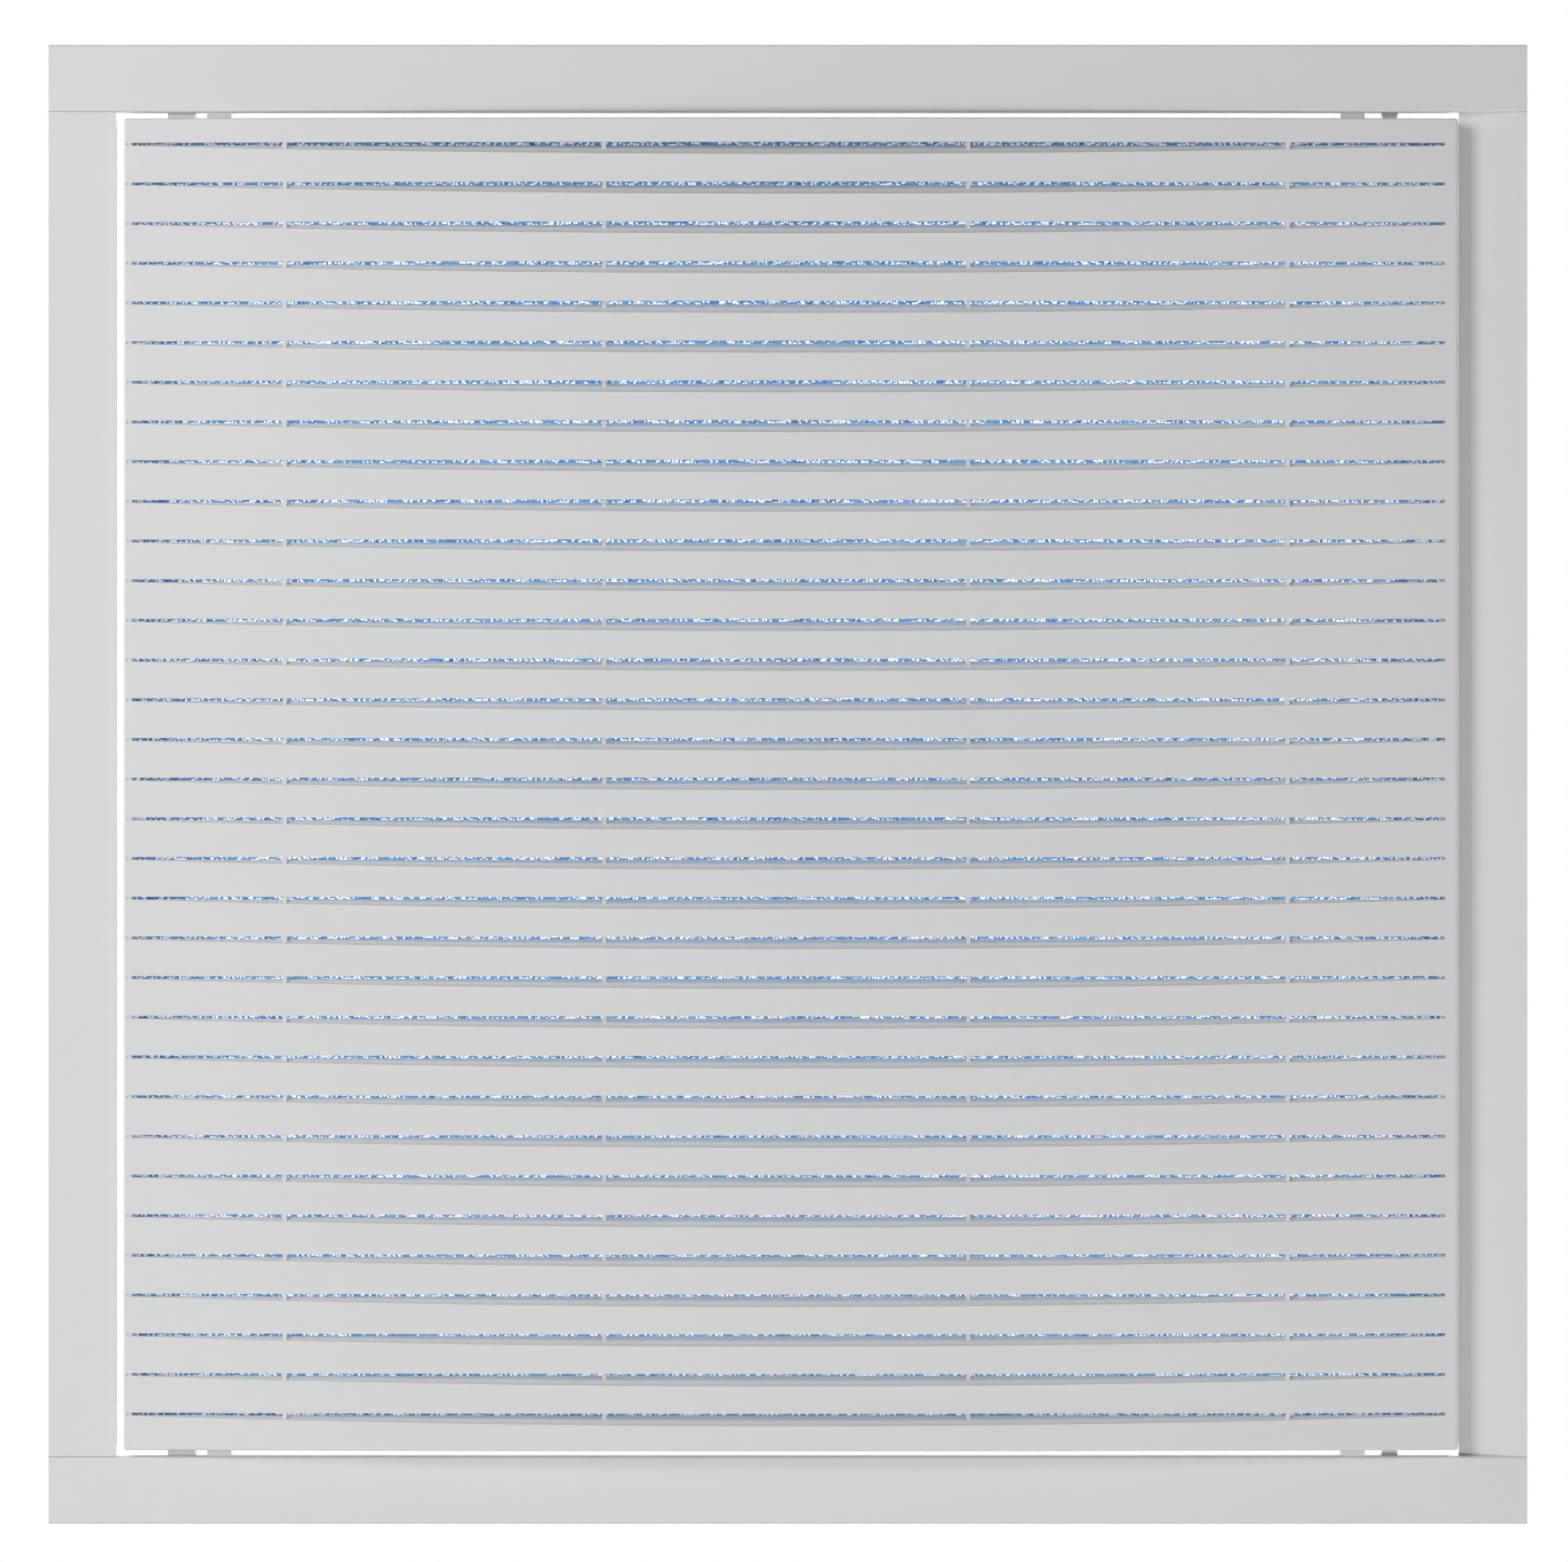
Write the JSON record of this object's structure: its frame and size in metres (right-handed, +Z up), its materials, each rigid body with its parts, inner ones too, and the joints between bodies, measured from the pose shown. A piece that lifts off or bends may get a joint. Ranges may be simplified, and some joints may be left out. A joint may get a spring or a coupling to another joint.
{
  "type": "ventilation grille with filter",
  "caption": "Square wall grille: a frame with a duct collar, a bowed panel of fine horizontal slats that swings out on pins, and a filter mat clipped in behind it.",
  "frame": {"origin": "centre of the opening on the surface of the wall, where the skirt rests", "axes": "+X right seen from the front, +Y into the wall, +Z up; the slats face -Y"},
  "size_m": [0.3, 0.0335, 0.3],
  "materials": {
    "frame_plastic": "satin moulded plastic",
    "panel_plastic": "satin moulded plastic",
    "retainer_plastic": "satin moulded plastic",
    "filter_fleece": "blue fibre fleece, white towards the back"
  },
  "bodies": {
    "frame": {"mounting_frame": "frame_plastic"},
    "panel": {"slatted_panel": "panel_plastic", "filter_mat": "filter_fleece", "filter_retainer": "retainer_plastic"}
  },
  "joints": [
    {"name": "panel_hinge", "type": "hinge", "parent": "frame", "child": "panel", "pos_m": [-0.12312, -0.0052, 0], "axis": [0, 0, -1], "range_deg": [0, 120]}
  ]
}
